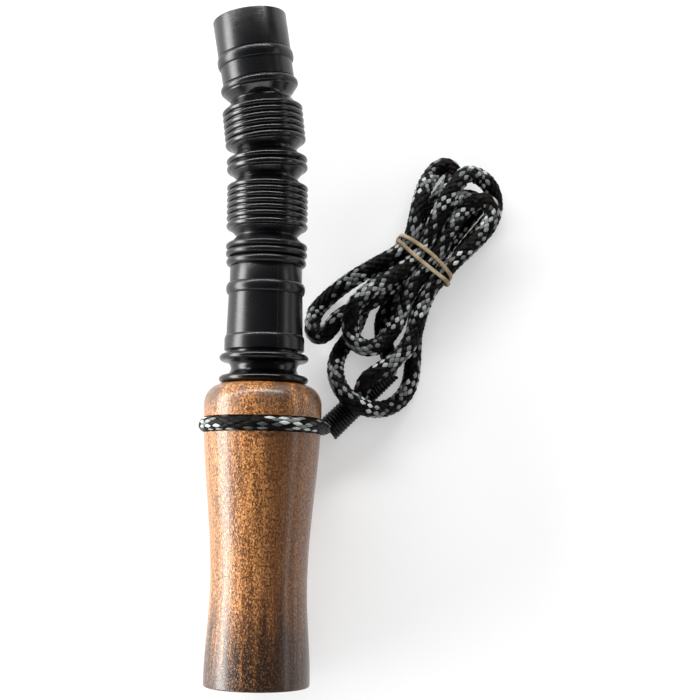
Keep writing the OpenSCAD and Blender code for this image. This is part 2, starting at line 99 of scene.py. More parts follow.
def noose_rows():
    """The cord from the upper layer under the whipping, round the barrel, to the whipping's tip."""
    rows = [under_whipping(along, 1.4, PRESSED) for along in (14, 11, 8, 5, 2)]
    rows += [[19.4, 78.5, -13.1, 1.6], [18.8, 78.1, -11.5, 1.9], [18.4, 78, -8, NOOSE_CORD],
             [17.85, 78, -3, NOOSE_CORD]]
    for angle in np.radians(np.linspace(7, 272.5, 60)):
        across, height = NOOSE_RADIUS * math.cos(angle), NOOSE_RADIUS * math.sin(angle)
        rows.append([across, GROOVE_PLACE, height, NOOSE_CORD])
    rows += [[7, 78, -17.2, NOOSE_CORD], [13, 78, -17.1, 2.05], [17.4, 78.1, -16.8, 1.7]]
    rows += [under_whipping(along, -1.4, PRESSED) for along in (1, 4, 7, 10, 13)]
    rows += [under_whipping(16.5, -0.6, 1.9), under_whipping(19, 0, 2.2), under_whipping(23, 0, 2.2)]
    return rows + [[*whip_tip, 2.3]]


print("noose line has", len(noose_rows()), "points")

# %% The hank and the two legs
HANK_WAIST = np.array([49.3, 132.2, -19.0])
BEARING = math.radians(50.7)
hank_along = np.array([math.cos(BEARING), math.sin(BEARING), 0])
hank_across = np.array([math.sin(BEARING), -math.cos(BEARING), 0])

# The strands lie side by side at the waist, and leave it this far from its middle, slowly at first
STRAND_STEP, LEAVING, SLOWNESS = 5, 2, 1.25
# Strands at the waist: place across in strand steps, and height
WAIST = [(3, 9.5), (2, 9.5), (1, 9.5), (3, 4.5), (0, 4.5), (0, 9.5), (1, 4.5), (2, 4.5)]
# Folds: side, start and reach of the round end, places across, heights, lateness of swing and of rise
FOLDS = [
    (1, 20, 7.4, (8.8, 4, -0.4), (8.2, 8.6, 8.2), (1, 1), (2, 2)),
    (-1, 25, 9.5, (7, 1.6, -6.9), (9, 12, 15), (2.4, 1.6), (2, 1)),
    (1, 26, 6.9, (-7.4, -1.8, 7.5), (11.4, 5.8, 2.2), (1, 1), (1, 0.7)),
    (-1, 37, 12.2, (22.8, 11, -2), (2, 11.2, 2.4), (2.2, 3.4), (0.5, 0.6)),
    (1, 25.7, 4.3, (-9.9, -13.2, -16.4), (2, 2, 2), (1, 1), (0.6, 4)),
    (-1, 33.7, 6.5, (-16.2, -11, -8.6), (2, 4.5, 9), (1, 4), (3, 0.8)),
    (1, 23.8, 2.8, (-3.7, -0.95, 1.8), (2.3, 2.3, 2.3), (0.75, 1), (0.7, 0.7)),
]
LEG_A = [(0, 7.5, 9.5), (-5, 7.6, 9.3), (-10, 8.6, 9), (-15, 10.5, 8.8), (-20, 12.7, 8.8), (-26, 14, 9.6),
         (-32, 13.4, 10.2), (-37, 12, 10.3), (-41, 11, 9.6), (-44, 11.8, 7.4), (-46.5, 12.9, 5.3)]
LEG_B = [(0, 2.5, 4.5), (-5, 2.4, 3.6), (-10, 2, 2.4), (-15, 1.4, 2.3), (-19, 1.2, 2.3),
         (-22.6, 2.3, 2.3), (-26.2, 5.3, 2.4), (-28.3, 8.3, 2.5), (-30.4, 11.3, 2.8), (-33.6, 14.3, 3.5)]


def strand_across(strand):
    """Place across the waist of one of its strands."""
    return (strand[0] - 1.5) * STRAND_STEP


def run_points(fold, strand, which, steps=24):
    """The run from the waist out to a round end; which is 0 for the run out and 1 for the run back."""
    side, shoulder, _, across, heights, swings, rises = fold
    from_across, to_across = strand_across(strand), across[2 * which]
    from_height, to_height = strand[1], heights[2 * which]
    points = []
    for t in np.linspace(0, 1, steps + 1)[1:]:
        drawn = math.sin(math.pi / 2 * t ** SLOWNESS)
        points.append([side * (LEAVING + (shoulder - LEAVING) * t),
                       from_across + (to_across - from_across) * drawn ** swings[which],
                       from_height + (to_height - from_height) * drawn ** rises[which]])
    return points


def round_end_points(fold, steps=28):
    """The round end between a fold's two runs."""
    side, shoulder, reach, across, heights, _, _ = fold
    middle, half = (across[0] + across[2]) / 2, (across[0] - across[2]) / 2
    points = []
    for angle in np.linspace(0, math.pi, steps + 1)[1:-1]:
        near = heights[0] if angle < math.pi / 2 else heights[2]
        points.append([side * (shoulder + reach * math.sin(angle)),
                       middle + half * math.cos(angle) + (across[1] - middle) * math.sin(angle),
                       heights[1] + (near - heights[1]) * math.cos(angle) ** 2])
    return points


def hank_points():
    """All folds in the order that the cord makes them, from its first waist strand to its last."""
    points = []
    for fold, strand, following in zip(FOLDS, WAIST, WAIST[1:]):
        points.append([0, strand_across(strand), strand[1]])
        points += run_points(fold, strand, 0) + round_end_points(fold)
        points += run_points(fold, following, 1)[::-1]
    return points + [[0, strand_across(WAIST[-1]), WAIST[-1][1]]]


def hank_place(points):
    """Places [along, across, height] of the hank as points in the frame."""
    p = np.array(points, float)
    return HANK_WAIST + p[:, :1] * hank_along + p[:, 1:2] * hank_across + p[:, 2:] * np.array([0, 0, 1.0])


SWELL, BAND_PRESS, BAND_REACH = 0.12, 0.3, 8


def waist_radius(along):
    """Radius of the cord, a little swollen where it is slack and pressed thinner under the band."""
    return CORD_RADIUS + SWELL - BAND_PRESS * np.exp(-(np.asarray(along) / BAND_REACH) ** 2)


def hank_rows(points):
    """Rows of the cord's line for places of the hank."""
    p = np.array(points, float)
    return np.column_stack([hank_place(points), waist_radius(p[:, 0])])


print("hank line has", len(hank_points()), "points")

# %% [markdown]
# The pieces of the line are joined end to end, drawn as one smooth curve, and cut into short steps. A
# Catmull-Rom curve passes through every point, and a light average afterwards takes out what is left of
# the corners, as the stiffness of a real cord does. The steps are equal in slack cord, so they are longer
# where the cord is drawn thin.

# %% One smooth line for the whole cord
def smooth_curve(rows, step):
    """Rows joined by a Catmull-Rom curve, at about even steps."""
    rows = np.asarray(rows, float)
    ends = np.vstack([2 * rows[0] - rows[1], rows, 2 * rows[-1] - rows[-2]])
    pieces = []
    for a, b, c, d in zip(ends, ends[1:], ends[2:], ends[3:]):
        count = max(2, math.ceil(np.linalg.norm(c[:3] - b[:3]) / step))
        t = np.linspace(0, 1, count, endpoint=False)[:, None]
        pieces.append(0.5 * (2 * b + (c - a) * t + (2 * a - 5 * b + 4 * c - d) * t ** 2
                             + (3 * b - a - 3 * c + d) * t ** 3))
    return np.vstack(pieces + [rows[-1:]])


def distances(rows):
    """Distance along the line at each row."""
    return np.concatenate([[0], np.cumsum(np.linalg.norm(np.diff(rows[:, :3], axis=0), axis=1))])


def even_steps(rows, step, at=None):
    """The line in steps of one length, along it or by another count; the last part step is left out."""
    at = distances(rows) if at is None else at
    marks = np.arange(0, at[-1], step)
    return np.column_stack([np.interp(marks, at, rows[:, k]) for k in range(rows.shape[1])])


def slack_lengths(rows):
    """Length of slack cord up to each row: a cord drawn thinner is drawn longer."""
    steps = np.linalg.norm(np.diff(rows[:, :3], axis=0), axis=1)
    return np.concatenate([[0], np.cumsum(steps * (rows[1:, 3] / CORD_RADIUS) ** 2)])


def averaged(rows, reach):
    """Each row averaged with its neighbours, with the two ends kept."""
    weights = np.exp(-np.linspace(-2, 2, 2 * reach + 1) ** 2)
    weights /= weights.sum()
    padded = np.vstack([np.repeat(rows[:1], reach, 0), rows, np.repeat(rows[-1:], reach, 0)])
    soft = np.column_stack([np.convolve(column, weights, "valid") for column in padded.T])
    soft[0], soft[-1] = rows[0], rows[-1]
    return soft


BRAID_PITCH = 2.8
CELL = 6
CURVE_STEP, EVEN_STEP, SOFT_REACH = 0.4, 0.2, 7
cord_line = np.vstack([
    smooth_curve(noose_rows(), CURVE_STEP)[:-1],
    smooth_curve(hank_rows(LEG_B)[::-1], CURVE_STEP)[:-1],
    smooth_curve(hank_rows(hank_points())[::-1], CURVE_STEP)[:-1],
    smooth_curve(hank_rows(LEG_A), CURVE_STEP),
])
cord_line = averaged(even_steps(cord_line, EVEN_STEP), SOFT_REACH)
cord_line = even_steps(cord_line, BRAID_PITCH / CELL, slack_lengths(cord_line))
cord_length = distances(cord_line)[-1]
print(f"the cord is {cord_length:.0f} mm long, in {len(cord_line)} steps")

# %% [markdown]
# ## The braid
# Sixteen flat strands are braided over a core, eight each way round, each passing over one and under one.
# The pattern could be a picture on a smooth tube, but the strands stand out enough to shade each other, so
# the tube's own mesh has them. Eight strands each way make diamond cells: with u counted in strands round
# the cord and v in cells along it, u + v and u - v number the strands of the two ways. The mesh has six
# steps in a cell, so that the valleys between strands run along its edges. The UV map holds u and v. A cord
# never lies without some twist, so the cells wander slowly round it.

# %% Braid the cord
STRANDS = 8
SIDES = STRANDS * CELL
# How blunt a strand's crown is across and along it, and the relief at which the cord has its plain radius
CROWN_ACROSS, CROWN_ALONG, PLAIN_RELIEF = 0.6, 0.45, 0.6
# The cord's slow twist: millimetres a radian, and the size and length of its wandering
TWIST, WANDER, WANDER_LENGTH = 28, 0.7, 23


def carried_frames(points):
    """Two directions square to the line at every point, carried along it without twisting."""
    headings = np.gradient(points, axis=0)
    headings /= np.linalg.norm(headings, axis=1)[:, None]
    side = np.cross(headings[0], [0, 0, 1.0])
    sides = []
    for heading in headings:
        side = side - heading * (side @ heading)
        side /= np.linalg.norm(side)
        sides.append(side)
    sides = np.array(sides)
    return sides, np.cross(headings, sides)


def braid_relief(rings):
    """Height of the braid from 0 in the valleys to 1 on the strands' crowns, for every ring and side."""
    n, m = np.mgrid[0:rings, 0:SIDES]
    way_a, way_b = (m + n) % CELL / CELL, (m - n) % CELL / CELL
    a_on_top = ((m + n) // CELL + (m - n) // CELL) % 2 == 0
    along, across = np.where(a_on_top, way_a, way_b), np.where(a_on_top, way_b, way_a)
    return np.sin(math.pi * across) ** CROWN_ACROSS * np.sin(math.pi * along) ** CROWN_ALONG


def mesh_piece(name, points, faces, uv=None):
    """A mesh object from points in millimetres; uv has one pair for each corner of each face."""
    mesh = bpy.data.meshes.new(name)
    mesh.from_pydata((points * MM).tolist(), [], faces)
    if uv is not None:
        mesh.uv_layers.new(name="braid").data.foreach_set("uv", np.asarray(uv, np.float32).ravel())
    mesh.update()
    mesh.shade_smooth()
    piece = bpy.data.objects.new(name, mesh)
    bpy.context.scene.collection.objects.link(piece)
    return piece


def braided_tube(name, line, relief):
    """A tube along the line with the braid's relief, split along its valleys, with closed ends."""
    rings = len(line)
    sides, ups = carried_frames(line[:, :3])
    at = distances(line)
    twist = at / TWIST + WANDER * np.sin(at / WANDER_LENGTH)
    angles = (2 * math.pi * np.arange(SIDES) / SIDES)[None, :] + twist[:, None]
    outward = sides[:, None, :] * np.cos(angles)[:, :, None] + ups[:, None, :] * np.sin(angles)[:, :, None]
    radius = line[:, 3, None] * (1 + relief * (braid_relief(rings) - PLAIN_RELIEF) / CORD_RADIUS)
    points = line[:, None, :3] + outward * radius[:, :, None]
    points[:, :, 2] = np.maximum(points[:, :, 2], FLOOR / MM)
    points = np.vstack([points.reshape(-1, 3), line[0, :3], line[-1, :3]])

    n, m = np.mgrid[0:rings - 1, 0:SIDES]
    n, m = n.ravel(), m.ravel()
    nexts = (m + 1) % SIDES
    a, b, c, d = n * SIDES + m, n * SIDES + nexts, (n + 1) * SIDES + nexts, (n + 1) * SIDES + m
    uv_a, uv_b, uv_c, uv_d = ([(m + i) / CELL, (n + k) / CELL] for i, k in ((0, 0), (1, 0), (1, 1), (0, 1)))
    corners = np.stack([a, b, c, d], 1)
    corner_uv = np.stack([np.stack(p, 1) for p in (uv_a, uv_b, uv_c, uv_d)], 1)
    rising = ((m - n) % CELL == 0)[:, None, None]
    split = np.where(rising, [[[0, 1, 2], [0, 2, 3]]], [[[0, 1, 3], [1, 2, 3]]])
    rows = np.arange(len(corners))[:, None, None]
    faces, uv = corners[rows, split].reshape(-1, 3), corner_uv[rows, split].reshape(-1, 3, 2)

    k = np.arange(SIDES)
    start, end = len(points) - 2, len(points) - 1
    last = (rings - 1) * SIDES
    caps = np.vstack([np.stack([np.full(SIDES, start), (k + 1) % SIDES, k], 1),
                      np.stack([np.full(SIDES, end), last + k, last + (k + 1) % SIDES], 1)])
    faces, uv = np.vstack([faces, caps]), np.vstack([uv, np.zeros((2 * SIDES, 3, 2))])
    return mesh_piece(name, points, faces.tolist(), uv)


lanyard_cord = braided_tube("lanyard_cord", cord_line, relief=0.42)
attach(lanyard_cord, "lanyard")
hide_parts("lanyard_noose", "lanyard_leg_a", "lanyard_leg_b", "lanyard_hank")
print("braided cord:", len(lanyard_cord.data.polygons), "triangles")

# %% [markdown]
# ## Whipping and rubber band
# The whipping is one length of black thread wound twenty-four times round both legs, each turn close to the
# next. A screw modifier on a circle makes a coil of one radius only, so the winding is swept along a formula
# that grows narrower towards the tip. The thread's section has three lobes that turn along it, as three
# plies twisted together do.

# %% Wind the whipping
TURNS = 24
THREAD = 1.2
WHIP_RADIUS, WHIP_TAPER = 4.05, 0.35
STEPS_A_TURN, THREAD_SIDES = 64, 18
PLY_LENGTH, PLY_RELIEF = 4.2, 0.07
whip_side = np.cross(whip_way, [0, 0, 1.0])
whip_side /= np.linalg.norm(whip_side)
whip_up = np.cross(whip_side, whip_way)


def swept(name, line, references, sections, closed=False):
    """A tube along the line; each ring's section lies square to it, measured from a reference direction."""
    line, rings = np.asarray(line, float), len(line)
    around = sections.shape[1]
    headings = (np.roll(line, -1, 0) - np.roll(line, 1, 0)) if closed else np.gradient(line, axis=0)
    headings /= np.linalg.norm(headings, axis=1)[:, None]
    sides = np.cross(headings, references)
    sides /= np.linalg.norm(sides, axis=1)[:, None]
    ups = np.cross(sides, headings)
    points = line[:, None, :] + sections[:, :, :1] * sides[:, None, :] + sections[:, :, 1:] * ups[:, None, :]
    points[:, :, 2] = np.maximum(points[:, :, 2], FLOOR / MM)
    i, j = np.mgrid[0:rings if closed else rings - 1, 0:around]
    i, j = i.ravel(), j.ravel()
    ring, following, beside = i * around, (i + 1) % rings * around, (j + 1) % around
    faces = np.stack([ring + j, ring + beside, following + beside, following + j], 1).tolist()
    if not closed:
        faces += [list(range(around))[::-1], list(range((rings - 1) * around, rings * around))]
    piece = mesh_piece(name, points.reshape(-1, 3), faces)
    bpy.ops.object.select_all(action="DESELECT")
    bpy.context.view_layer.objects.active = piece
    bpy.ops.object.mode_set(mode="EDIT")
    bpy.ops.mesh.select_all(action="SELECT")
    bpy.ops.mesh.normals_make_consistent(inside=False)
    bpy.ops.object.mode_set(mode="OBJECT")
    return piece


def wound_thread():
    """The coil's line and the turning three-lobed section at each of its points."""
    t = np.linspace(0, 1, TURNS * STEPS_A_TURN + 1)
    angle = 2 * math.pi * TURNS * t
    radius = WHIP_RADIUS - WHIP_TAPER * t - THREAD / 2
    line = (whip_foot + np.outer(t * whip_length, whip_way)
            + np.outer(np.cos(angle) * radius, whip_side) + np.outer(np.sin(angle) * radius, whip_up))
    around = np.linspace(0, 2 * math.pi, THREAD_SIDES, endpoint=False)
    twist = distances(line)[:, None] * 2 * math.pi / PLY_LENGTH
    lobed = THREAD / 2 * (1 - PLY_RELIEF + PLY_RELIEF * np.cos(3 * (around[None, :] - twist)))
    return line, np.stack([lobed * np.cos(around), lobed * np.sin(around)], 2)


coil_line, coil_sections = wound_thread()
whipping = swept("whipping_thread", coil_line, np.tile(whip_way, (len(coil_line), 1)), coil_sections)
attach(whipping, "lanyard")
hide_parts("whipping")
print(f"whipping: {TURNS} turns, {distances(coil_line)[-1]:.0f} mm of thread")

# %% [markdown]
# The rubber band is one closed loop that goes round the waist of the hank twice. Its two wraps lie side by
# side at the hank's edges, bow apart on top and cross underneath. A small wave along it makes it lie
# unevenly, as a stretched band does.

# %% Stretch the band round the waist
# The four corner strands of the bundle: half their distance across and in height, and their middle's height
BUNDLE_ACROSS, BUNDLE_UP, BUNDLE_MIDDLE = 7.5, 2.5, 7
CORNER_HOLD = 2.2
# The band's place from the strands, the lift where its wraps cross, and half the distance between its wraps
BAND_LIFT, CROSSING_LIFT, WRAPS_APART = 0.55, 0.7, 0.88
# How far the wraps bow apart on top, how far both shift with it, and the small wave and its count
BOW, BOW_SHIFT, WAVE, WAVES = 1.1, 0.5, 0.1, 3.5
BAND_HALF_THICK, BAND_HALF_WIDE, BAND_SQUARENESS = 0.45, 0.62, 0.6


def bundle_edge(angle, grow):
    """Outline of the bundled strands: four at the corners, each grown to a radius; across and height."""
    radius = float(waist_radius(0)) + grow
    held_x = np.clip(CORNER_HOLD * np.cos(angle), -1, 1)
    held_z = np.clip(CORNER_HOLD * np.sin(angle), -1, 1)
    across = BUNDLE_ACROSS * held_x + radius * np.cos(angle)
    return across, BUNDLE_MIDDLE + BUNDLE_UP * held_z + radius * np.sin(angle)


def band_line(steps=320):
    """The band's middle line, through both wraps, from underneath."""
    angle = np.linspace(0, 4 * math.pi, steps, endpoint=False)
    turn = np.cos(angle / 2)
    across, height = bundle_edge(angle - math.pi / 2, BAND_LIFT + CROSSING_LIFT * (turn ** 4 - turn ** 3))
    side = np.sin(angle / 2)
    bow = np.where(np.cos(angle) < 0, 1 - (across / np.abs(across).max()) ** 2, 0)
    along = WRAPS_APART * side + bow * (BOW * np.sign(side) + BOW_SHIFT) + WAVE * np.sin(WAVES * angle)
    return hank_place(np.column_stack([along, across, height]))


def squared(wave):
    """A wave with blunter crests, which makes a circle squarer."""
    return np.sign(wave) * np.abs(wave) ** BAND_SQUARENESS


band_points = band_line()
corner = np.linspace(0, 2 * math.pi, 20, endpoint=False)
band_section = np.stack([BAND_HALF_THICK * squared(np.cos(corner)),
                         BAND_HALF_WIDE * squared(np.sin(corner))], 1)
rubber_band = swept("rubber_band_loop", band_points, np.tile(hank_along, (len(band_points), 1)),
                    np.repeat(band_section[None], len(band_points), 0), closed=True)
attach(rubber_band, "lanyard")
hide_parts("rubber_band")
print("band:", len(rubber_band.data.polygons), "faces")

# %% [markdown]
# ## Turned and moulded pieces
# The barrel was turned on a lathe, and the housing and the hose are round mouldings, so all of them are
# spun. A circle's corners are moved on to the outline of half a section, the bore included, and the spin
# operator turns it once round the barrel's axis. A screw modifier would do the same; the operator leaves
# a plain mesh. The outlines below are lists of radius and place along the axis, in millimetres.

# %% The lathe
def spun(name, outline, steps=144):
    """A closed outline of radius and place, turned about the barrel's axis."""
    bpy.ops.object.select_all(action="DESELECT")
    bpy.ops.mesh.primitive_circle_add(vertices=len(outline), radius=10 * MM)
    piece = bpy.context.object
    piece.name = piece.data.name = name
    for vertex, (radius, place) in zip(piece.data.vertices, outline):
        vertex.co = (radius * MM, place * MM, 0)
    bpy.ops.object.mode_set(mode="EDIT")
    bpy.ops.mesh.select_all(action="SELECT")
    bpy.ops.mesh.spin(steps=steps, angle=2 * math.pi, center=(0, 0, 0), axis=(0, 1, 0))
    bpy.ops.mesh.select_all(action="SELECT")
    bpy.ops.mesh.remove_doubles(threshold=0.005 * MM)
    bpy.ops.mesh.normals_make_consistent(inside=False)
    bpy.ops.object.mode_set(mode="OBJECT")
    bpy.ops.object.shade_smooth_by_angle(angle=math.radians(40))
    return piece


def bead(place, half, foot, height, steps=14):
    """Points of a half-round bead on an outline."""
    angles = np.linspace(0, math.pi, steps + 1)
    return [(foot + height * math.sin(a), place - half * math.cos(a)) for a in angles]


def rib(place, half, radius):
    """Points of a round rib whose crown reaches the radius."""
    return bead(place, half, radius - half, half)


def swell(t):
    """Rise of a smooth swell from 0 to 1."""
    return (1 - math.cos(math.pi * t)) / 2


print("lathe ready")

# %% [markdown]
# ### Barrel
# The grip narrows to a waist and swells to a round shoulder. The groove below the shoulder is the hollow
# that the noose lies in. The real barrel has soft edges, so the rim and the bore's mouth are rounded.

# %% Turn the barrel
BARREL = 90.8
RIM, GRIP, SHOULDER = 16, 14.65, 18
RIM_ROUND, GRIP_PLACE, SHOULDER_ROUND = 0.5, 30, 6.4
SHOULDER_PLACE = BARREL - SHOULDER_ROUND
GROOVE_SLACK = 0.25


def barrel_radius(place):
    """Outside radius of the barrel, with the groove for the noose."""
    if place < GRIP_PLACE:
        radius = RIM - (RIM - GRIP) * swell((place - RIM_ROUND) / (GRIP_PLACE - RIM_ROUND))
    elif place < SHOULDER_PLACE:
        radius = GRIP + (SHOULDER - GRIP) * swell((place - GRIP_PLACE) / (SHOULDER_PLACE - GRIP_PLACE))
    else:
        fall = max(SHOULDER_ROUND ** 2 - (place - SHOULDER_PLACE) ** 2, 0)
        radius = SHOULDER - SHOULDER_ROUND + math.sqrt(fall)
    depth = (NOOSE_CORD + GROOVE_SLACK) ** 2 - (place - GROOVE_PLACE) ** 2
    return min(radius, NOOSE_RADIUS - math.sqrt(depth)) if depth > 0 else radius


def barrel_outline():
    """Outside, shoulder, chamber and mouth bore, as one closed outline."""
    rim = [(RIM - RIM_ROUND + RIM_ROUND * math.sin(a), RIM_ROUND - RIM_ROUND * math.cos(a))
           for a in np.linspace(0, math.pi / 2, 6)]
    places = np.concatenate([np.arange(1.5, 75, 1.0), np.arange(75, 81.2, 0.2), np.arange(81.5, 84.4, 0.5)])
    side = [(barrel_radius(place), place) for place in places]
    shoulder = [(SHOULDER - SHOULDER_ROUND + SHOULDER_ROUND * math.cos(a),
                 SHOULDER_PLACE + SHOULDER_ROUND * math.sin(a)) for a in np.linspace(0, math.pi / 2, 18)]
    inside = [(10.45, BARREL), (10.05, BARREL - 0.4), (10.05, 12.4), (9.8, 12), (8, 12), (8, 0.5), (8.5, 0)]
    return rim + side + shoulder + inside


barrel = spun("turned_barrel", barrel_outline(), 180)
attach(barrel, "barrel")
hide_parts("barrel")
print("barrel:", len(barrel.data.polygons), "faces")

# %% [markdown]
# ### Reed housing
# Only the spool with its two thin flanges shows; the stem with two grooves for its seals is inside the
# barrel, and the nipple is inside the hose.

# %% Turn the reed housing
SEAT = BARREL + 0.1


def seal_groove(place):
    """The groove of one seal ring, cut into the stem."""
    return [(9.9, place - 0.9), (8.45, place - 0.9), (8.45, place + 0.9), (9.9, place + 0.9)]


def housing_outline():
    """Stem, lower flange, spool, upper flange, nipple and bores."""
    stem = [(5, 62.3), (5.3, 62), (9.4, 62), (9.9, 62.5)] + seal_groove(70) + seal_groove(82) + [(9.9, SEAT)]
    spool = [(10.1 + 1.2 * (2 * t - 1) ** 2, SEAT + 2.4 + 4.2 * t) for t in np.linspace(0, 1, 16)[1:-1]]
    nipple = [(10.24, SEAT + 9), (10.24, SEAT + 25.8), (9.64, SEAT + 26.4), (7.6, SEAT + 26.4)]
    throat = [(7.6, 84), (5, 84)]
    flanges = [bead(SEAT + 1.2, 1.2, 12.2, 1.5), bead(SEAT + 7.8, 1.2, 12.2, 1.5)]
    return stem + flanges[0] + spool + flanges[1] + nipple + throat


housing = spun("spool_housing", housing_outline())
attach(housing, "insert")
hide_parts("reed_housing")
print("housing:", len(housing.data.polygons), "faces")

# %% [markdown]
# ### Hose
# The hose is blow-moulded in one piece. Its stiff stretches, two cuffs and three groups of ribs, each ride on
# their own body, and the four thin necks between them bend or stretch. Every stretch is spun straight, on
# the barrel's axis, and then turned about the throats below it, by the same few degrees as in the CAD.

# %% Spin the stiff stretches of the hose
THROATS = [136.5, 154.6, 163.4, 180.3]
BENDS = [0.5, 3.0, 3.5, 2.5]
HOSE_START, HOSE_END = SEAT + 9.9, 207.0


def turn_about_throat(piece, number, chosen=None):
    """Turns a piece, or the vertices that chosen picks, about one throat by its rest bend."""
    bpy.ops.object.select_all(action="DESELECT")
    bpy.context.view_layer.objects.active = piece
    piece.select_set(True)
    bpy.ops.object.mode_set(mode="EDIT")
    bpy.ops.mesh.select_all(action="DESELECT")
    bpy.ops.object.mode_set(mode="OBJECT")
    for vertex in piece.data.vertices:
        vertex.select = chosen is None or chosen(vertex.co)
    bpy.ops.object.mode_set(mode="EDIT")
    bpy.ops.transform.rotate(value=-math.radians(BENDS[number]), orient_axis="Z",
                             center_override=(0, THROATS[number] * MM, 0))
    bpy.ops.object.mode_set(mode="OBJECT")


def bent_point(place, count):
    """A point of the straight hose's axis, carried round the first bends."""
    point = Vector((0, place * MM, 0))
    for number in reversed(range(count)):
        pivot = Vector((0, THROATS[number] * MM, 0))
        point = pivot + Matrix.Rotation(math.radians(BENDS[number]), 3, "Z") @ (point - pivot)
    return point


def hose_stretch(name, node, body, outside, bore, count):
    """One stiff stretch: its outside outline closed by its bore, spun and carried round its bends."""
    piece = spun(name, outside + bore)
    for number in reversed(range(count)):
        turn_about_throat(piece, number)
    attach(piece, body)
    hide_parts(node)
    return piece


RIB_CROWN, THIN_HALF = 12.6, 0.85


def rib_row(start, broad_half, first, count, end):
    """One broader rib and a row of thin ones up to the end."""
    pitch = (end - THIN_HALF - first) / max(count - 1, 1)
    thin = [point for i in range(count) for point in rib(first + pitch * i, THIN_HALF, RIB_CROWN)]
    return rib(start + broad_half, broad_half, RIB_CROWN) + thin


lip = [(11.7, HOSE_START)] + [(11.7 + 0.6 * math.sin(a), HOSE_START + 0.6 - 0.6 * math.cos(a))
                              for a in np.linspace(0, math.pi / 2, 6)[1:]]
lip += [(12.3, HOSE_START + 3.6), (12.2, HOSE_START + 4.2), (11.95, HOSE_START + 4.7),
        (11.75, HOSE_START + 4.9)]
cuff_outside = (lip + [(11.4, 118.2)] + bead(120.05, 1.85, 11.25, 0.95) + [(11.15, 121.9), (11.15, 126.8)]
                + rib(128.4, 1.35, 12.35) + rib(131.05, 1.1, 12.6) + rib(133.3, 1, 12.6))
end_outside = (rib(184.4, 1.35, 12.2) + [(11.3, 185.95), (11.3, 191.25)] + bead(193.2, 1.85, 11.3, 0.75)
               + [(11.5, 195.25), (11.6, 206.6), (11.48, 206.88), (11.2, HOSE_END)])
cuff_bore = [(9.8, 134.3), (9.8, 117.9), (10.3, 117.9), (10.3, HOSE_START + 0.3), (10.6, HOSE_START)]
end_bore = [(10.6, HOSE_END), (10.3, HOSE_END - 0.3), (10.3, 195), (9.8, 195), (9.8, 183.05)]
lower_cuff = hose_stretch("hose_cuff_lower", "hose_lower_cuff", "hose_base", cuff_outside, cuff_bore, 0)
lower_ribs = hose_stretch("hose_ribs_first", "hose_ribs_lower", "hose_lower",
                          rib_row(138.75, 1, 142.2, 6, 152.6), [(9.8, 152.6), (9.8, 138.75)], 1)
middle_ribs = hose_stretch("hose_ribs_second", "hose_ribs_middle", "hose_middle",
                           rib_row(157.05, 1.15, 160.6, 1, 161.45), [(9.8, 161.45), (9.8, 157.05)], 2)
upper_ribs = hose_stretch("hose_ribs_third", "hose_ribs_upper", "hose_upper",
                          rib_row(165.65, 1, 168.6, 5, 177.4), [(9.8, 177.4), (9.8, 165.65)], 3)
upper_cuff = hose_stretch("hose_cuff_upper", "hose_upper_cuff", "hose_end", end_outside, end_bore, 4)
print("hose stretches end at", [round(c / MM, 1) for c in bent_point(HOSE_END, 4)])

# %% [markdown]
# ### Necks
# A neck has no stiffness of its own: at rest it lines up with the stretch below it at one end and the stretch
# above it at the other. Each neck starts a little way inside the stretch that it grows out of, so that no gap
# opens when the hose bends.

# %% Spin the necks
THROAT_RADIUS, NECK_RISE, NECK_OVERLAP, ROUNDING = 9.4, 2.1, 0.3, 0.02
NECK_WALL, WALL_GROWTH = 1.2, 0.3


def valley(t):
    """Rise of a valley's side, from 0 at its round throat to 1 at its edge."""
    foot = math.sqrt(ROUNDING)
    return (math.sqrt(t * t + ROUNDING) - foot) / (math.sqrt(1 + ROUNDING) - foot)


def neck_outline(start, throat, end):
    """A hollow valley from face to face, round at its throat, with a wall that thickens towards its edges."""
    places = np.concatenate([np.linspace(start - NECK_OVERLAP, throat, 13),
                             np.linspace(throat, end + NECK_OVERLAP, 13)[1:]])
    outside, inside = [], []
    for place in places:
        length = throat - start if place < throat else end - throat
        rise = valley(min(abs(place - throat) / length, 1.0))
        radius = THROAT_RADIUS + NECK_RISE * rise
        outside.append((radius, place))
        inside.append((radius - NECK_WALL - WALL_GROWTH * rise, place))
    return outside + inside[::-1]


def hose_neck(name, node, number, start, end):
    """One neck between two faces of the hose, bent at its throat and carried round the bends below it."""
    piece = spun(name, neck_outline(start, THROATS[number], end))
    turn_about_throat(piece, number, lambda co: co.y > THROATS[number] * MM + 0.01 * MM)
    for lower in reversed(range(number)):
        turn_about_throat(piece, lower)
    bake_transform(piece)
    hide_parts(node)
    return piece


necks = [
    hose_neck("hose_throat_1", "hose_neck_1", 0, 134.3, 138.75),
    hose_neck("hose_throat_2", "hose_neck_2", 1, 152.6, 157.05),
    hose_neck("hose_throat_3", "hose_neck_3", 2, 161.45, 165.65),
    hose_neck("hose_throat_4", "hose_neck_4", 3, 177.4, 183.05),
]
print("necks:", [piece.name for piece in necks])

# %% [markdown]
# ## Finishes
# A material is a graph of nodes, and sums of sockets read best as sums. The small class below wraps an
# output socket: arithmetic on it adds Math nodes, and one method adds any other node.

